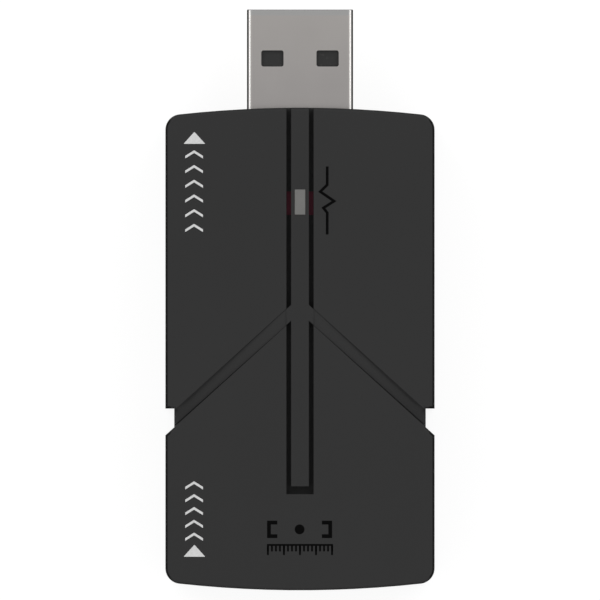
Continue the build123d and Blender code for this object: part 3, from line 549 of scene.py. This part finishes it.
for row_name, (count, row_top, row_end) in chevron_rows.items():
    chevron = flat_bar(
        chevron_half_width, chevron_stroke, chevron_half_width / 2, -chevron_stroke / 2
    )
    pick_vertices(chevron, lambda place: place.x > chevron_half_width / 2)
    bpy.ops.transform.translate(value=(0, -chevron_drop, 0))
    bpy.ops.object.mode_set(mode="OBJECT")
    apply_modifier(chevron, "MIRROR", use_clip=True, merge_threshold=0.001 * mm)
    chevron_height = chevron_drop + chevron_stroke
    pitch = (row_top - row_end - chevron_height) / (count - 1)
    apply_modifier(
        chevron, "ARRAY", count=count, use_relative_offset=False, use_constant_offset=True,
        constant_offset_displace=(0, -pitch, 0),
    )
    finish_mark(chevron, row_name, white_ink, chevron_x, row_top)

# %% [markdown]
# Beside the status window, in black ink, runs an activity line: the little pulse that stands for
# a signal on so many devices. It is one short face whose end edge is extruded from corner to
# corner. At each corner the edge is turned halfway between the two runs and made longer, as a
# carpenter cuts a mitre, because only then does the stroke stay equally wide all along.

# %% The black activity line beside the window
pulse_x = photo_x(327.2)
pulse_top = photo_y(166.5)
pulse_end = photo_y(234.4)
pulse_stroke = 0.30 * mm
pulse_swing = 0.78 * mm
pulse_length = pulse_top - pulse_end
pulse_corner_shares = (
    (0.0, 0.0), (0.27, 0.0), (0.37, -1.0), (0.51, 1.0), (0.61, -0.55), (0.68, 0.0), (1.0, 0.0),
)
pulse_corners = [
    (swing * pulse_swing, -share * pulse_length) for share, swing in pulse_corner_shares
]


def heading(start, end):
    """How far a run is turned away from straight down, in radians."""
    return math.atan2(end[0] - start[0], start[1] - end[1])


run_headings = [heading(*ends) for ends in zip(pulse_corners, pulse_corners[1:])]
corner_turns = [0.0]
for before, after in zip(run_headings, run_headings[1:]):
    corner_turns.append((before + after) / 2)
corner_turns.append(0.0)

first_run_share = 0.01
first_run = first_run_share * pulse_length
pulse = flat_bar(pulse_stroke, first_run, 0, -first_run / 2)
pick_vertices(pulse, lambda place: place.y < -first_run / 2)
at, turned, stretched = (0.0, -first_run), 0.0, 1.0
for number, corner in enumerate(pulse_corners[1:], start=1):
    step = (corner[0] - at[0], corner[1] - at[1], 0)
    bpy.ops.mesh.extrude_region_move(TRANSFORM_OT_translate={"value": step})
    middle = (corner[0], corner[1], 0)
    bpy.ops.transform.rotate(
        value=turned - corner_turns[number], orient_axis="Z", center_override=middle
    )
    mitre = 1 / math.cos(run_headings[number - 1] - corner_turns[number])
    growth = mitre / stretched
    bpy.ops.transform.resize(value=(growth, growth, 1), center_override=middle)
    at, turned, stretched = corner, corner_turns[number], mitre
bpy.ops.object.mode_set(mode="OBJECT")
finish_mark(pulse, "activity_line_print", black_ink, pulse_x, pulse_top)

# %% [markdown]
# Near the socket, the picture frame of a camera's viewfinder says what the box is for: it takes
# in pictures. It is a bold pair of brackets with a recording dot between them. One bracket is a
# bar whose ends are extruded inwards, and the Mirror modifier makes the other.

# %% The black viewfinder brackets
finder_left, finder_right = photo_x(267.1), photo_x(332.1)
finder_top, finder_bottom = photo_y(520.7), photo_y(538.0)
finder_x = (finder_left + finder_right) / 2
finder_y = (finder_top + finder_bottom) / 2
finder_half_width = (finder_right - finder_left) / 2
finder_height = finder_top - finder_bottom
finder_stroke = 0.42 * mm
finder_arm = 1.15 * mm

finder = flat_bar(finder_stroke, finder_height, finder_half_width - finder_stroke / 2, 0)
arm_level = finder_height / 2 - finder_stroke
for level in (arm_level, -arm_level):
    bpy.ops.mesh.select_all(action="SELECT")
    bpy.ops.mesh.bisect(plane_co=(0, level, 0), plane_no=(0, 1, 0))
middle_x = finder_half_width - finder_stroke / 2
for side in (1, -1):
    pick_vertices(
        finder,
        lambda place: place.x < middle_x and side * place.y > arm_level - finder_stroke / 2,
    )
    bpy.ops.mesh.extrude_region_move(
        TRANSFORM_OT_translate={"value": (finder_stroke - finder_arm, 0, 0)}
    )
bpy.ops.object.mode_set(mode="OBJECT")
apply_modifier(finder, "MIRROR")
finish_mark(finder, "viewfinder_print", black_ink, finder_x, finder_y)

# %% The recording dot between the brackets
dot_radius = 0.55 * mm
dot_rim = 0.165 * mm
dot_sides = 40
start_clean()
bpy.ops.mesh.primitive_circle_add(
    vertices=dot_sides, radius=dot_radius, fill_type="NGON", location=(0, 0, 0)
)
dot = bpy.context.object
bpy.ops.object.mode_set(mode="EDIT")
bpy.ops.mesh.select_all(action="SELECT")
bpy.ops.mesh.inset(thickness=dot_rim)
bpy.ops.object.mode_set(mode="OBJECT")
finish_mark(dot, "record_dot_print", black_ink, finder_x, finder_y)

# %% [markdown]
# Under the viewfinder lies a time scale: a thin line with short ticks, every fourth one longer.
# The ticks are one small face repeated by the Array modifier, and the line is one long face, all
# joined into one mark.

# %% The black time scale
scale_left = photo_x(267.0)
scale_top = photo_y(544.0)
scale_length = photo_x(333.0) - scale_left
scale_height = scale_top - photo_y(555.0)
scale_line = 0.21 * mm
tick_height = 0.62 * mm
tick_count = 17
ticks_to_a_long_one = 4


def scale_ticks(count, height):
    """A row of equal ticks that hang from the line and are spread over its whole length."""
    row = flat_bar(scale_line, height, scale_line / 2, -height / 2 - scale_line)
    bpy.ops.object.mode_set(mode="OBJECT")
    apply_modifier(
        row, "ARRAY", count=count, use_relative_offset=False, use_constant_offset=True,
        constant_offset_displace=((scale_length - scale_line) / (count - 1), 0, 0),
    )
    return row


short_ticks = scale_ticks(tick_count, tick_height)
long_ticks = scale_ticks((tick_count - 1) // ticks_to_a_long_one + 1, scale_height - scale_line)
time_scale = flat_bar(scale_length, scale_line, scale_length / 2, -scale_line / 2)
bpy.ops.object.mode_set(mode="OBJECT")
short_ticks.select_set(True)
long_ticks.select_set(True)
bpy.ops.object.join()
finish_mark(time_scale, "time_scale_print", black_ink, scale_left, scale_top)

# %% [markdown]
# The box lies on a plain white table. What the camera sees of the table is mostly its own white,
# with a part that the lamps light, so a faint shadow stays beside the box. Metal and clear pieces
# see the same white. For the soft light that bounces up, the table is simply a pale matt plane.

# %% The table
table_width = 4.0
table_gap = 0.02 * mm
start_clean()
bpy.ops.mesh.primitive_plane_add(size=table_width, location=(0, 0, -table_gap))
table = bpy.context.object
table.name = "white_table"

table_paint = bpy.data.materials.new("white_table_paint")
table_paint.use_nodes = True
paint = table_paint.node_tree
paint.nodes.clear()
seen = paint.nodes.new("ShaderNodeLightPath")
pale_matt = paint.nodes.new("ShaderNodeBsdfDiffuse")
pale_matt.inputs["Color"].default_value = (0.45, 0.45, 0.45, 1)
own_white = paint.nodes.new("ShaderNodeEmission")
own_white.inputs["Color"].default_value = (0.87, 0.87, 0.87, 1)
shadow_catcher = paint.nodes.new("ShaderNodeBsdfDiffuse")
shadow_catcher.inputs["Color"].default_value = (0.20, 0.20, 0.20, 1)
white_sum = paint.nodes.new("ShaderNodeAddShader")
either_ray = paint.nodes.new("ShaderNodeMath")
either_ray.operation = "ADD"
any_ray = paint.nodes.new("ShaderNodeMath")
any_ray.operation = "ADD"
any_ray.use_clamp = True
choice = paint.nodes.new("ShaderNodeMixShader")
surface = paint.nodes.new("ShaderNodeOutputMaterial")
for output, socket in (
    (own_white.outputs[0], white_sum.inputs[0]),
    (shadow_catcher.outputs[0], white_sum.inputs[1]),
    (seen.outputs["Is Camera Ray"], either_ray.inputs[0]),
    (seen.outputs["Is Glossy Ray"], either_ray.inputs[1]),
    (either_ray.outputs[0], any_ray.inputs[0]),
    (seen.outputs["Is Transmission Ray"], any_ray.inputs[1]),
    (any_ray.outputs[0], choice.inputs["Fac"]),
    (pale_matt.outputs[0], choice.inputs[1]),
    (white_sum.outputs[0], choice.inputs[2]),
    (choice.outputs[0], surface.inputs["Surface"]),
):
    paint.links.new(output, socket)
table.data.materials.append(table_paint)
print("table", table.dimensions[:])

# %% [markdown]
# The room is a light tent. Straight above, where the camera looks through its hole, it is dimmer,
# and at the height of the table it is dim too. Between them it is bright, and brightest in two
# strips on the left and the right. Metal shows this best: the flat of the plug is a middle grey,
# its bends catch a strip as a thin white line, and beyond that they turn dark. Each part of the
# tent is a curve over the height in the room, from the table up to straight above.

# %% The light tent
wall_levels = ((0.0, 0.22), (0.42, 0.75), (0.76, 0.70), (1.0, 0.44))
strip_levels = ((0.0, 0.0), (0.51, 0.04), (0.61, 1.0), (0.71, 0.0), (1.0, 0.0))
strip_strength = 1.5
strip_sharpness = 6.0

world = bpy.data.worlds.new("light_tent")
bpy.context.scene.world = world
world.use_nodes = True
tent = world.node_tree
background = tent.nodes["Background"]
background.inputs["Color"].default_value = (1, 1, 1, 1)
direction = tent.nodes.new("ShaderNodeTexCoord")
height = tent.nodes.new("ShaderNodeSeparateXYZ")
tent.links.new(direction.outputs["Generated"], height.inputs[0])


def tent_levels(levels):
    """How bright one part of the tent is at each height."""
    curve_node = tent.nodes.new("ShaderNodeFloatCurve")
    points = curve_node.mapping.curves[0].points
    for place, level in levels[1:-1]:
        points.new(place, level)
    points[0].location = levels[0]
    points[-1].location = levels[-1]
    curve_node.mapping.update()
    tent.links.new(height.outputs["Z"], curve_node.inputs["Value"])
    return curve_node.outputs["Value"]


flat_direction = tent.nodes.new("ShaderNodeVectorMath")
flat_direction.operation = "MULTIPLY"
flat_direction.inputs[1].default_value = (1, 1, 0)
tent.links.new(direction.outputs["Generated"], flat_direction.inputs[0])
compass = tent.nodes.new("ShaderNodeVectorMath")
compass.operation = "NORMALIZE"
tent.links.new(flat_direction.outputs[0], compass.inputs[0])
sideways = tent.nodes.new("ShaderNodeSeparateXYZ")
tent.links.new(compass.outputs[0], sideways.inputs[0])
sidewards = arithmetic(tent, "ABSOLUTE", sideways.outputs["X"])
towards_strip = arithmetic(tent, "POWER", sidewards, strip_sharpness)
strip_shape = arithmetic(tent, "MULTIPLY", tent_levels(strip_levels), towards_strip)
strips = arithmetic(tent, "MULTIPLY", strip_shape, strip_strength)
brightness = arithmetic(tent, "ADD", tent_levels(wall_levels), strips)
tent.links.new(brightness, background.inputs["Strength"])
print("tent walls", [level for place, level in wall_levels], "strips", strip_strength)

# %% [markdown]
# Two large soft lamps stand beyond the plug, one on the left and one on the right. They give the
# shapes a lit side and a shaded side, and throw the box's faint shadow on the table. They stand
# low enough not to shine into the narrow grooves, which stay as dark as in the photograph.
# Surfaces mirror the tent but not the lamps, so the plug doesn't burn out to white.

# %% The two lamps
lamp_places = {"left_lamp": (-0.53, 0.53, 0.58), "right_lamp": (0.53, 0.53, 0.58)}
lamp_width = 0.6
lamp_watts = 2.2

for lamp_name, place in lamp_places.items():
    lamp_data = bpy.data.lights.new(lamp_name, "AREA")
    lamp_data.shape = "SQUARE"
    lamp_data.size = lamp_width
    lamp_data.energy = lamp_watts
    lamp = bpy.data.objects.new(lamp_name, lamp_data)
    bpy.context.scene.collection.objects.link(lamp)
    lamp.location = place
    lamp.visible_camera = False
    lamp.visible_glossy = False
    towards = -lamp.location
    lamp.rotation_euler = towards.to_track_quat("-Z", "Y").to_euler()
    print(lamp_name, "at", place, lamp_watts, "W")

# %% [markdown]
# The photograph has no perspective at all: a long lens, far away, straight above. The lens and the
# height are chosen together, so that the picture's width at the level of the top is the width
# that the pixels give.

# %% The camera
picture_width = picture_size / pixels_per_mm * mm
lens_length = 1500.0
sensor_width = 36.0
camera_data = bpy.data.cameras.new("far_camera")
camera_data.lens = lens_length
camera_data.sensor_width = sensor_width
camera_data.clip_start = 0.1
camera_data.clip_end = 20.0
camera = bpy.data.objects.new("far_camera", camera_data)
bpy.context.scene.collection.objects.link(camera)
camera_height = top_z + picture_width * lens_length / sensor_width
camera.location = (0.0, photo_y(picture_size / 2), camera_height)
camera.rotation_euler = (0.0, 0.0, 0.0)
bpy.context.scene.camera = camera
bpy.context.scene.view_settings.view_transform = "Standard"
print("camera", round(camera_height, 3), "m up, picture", round(picture_width / mm, 2), "mm wide")
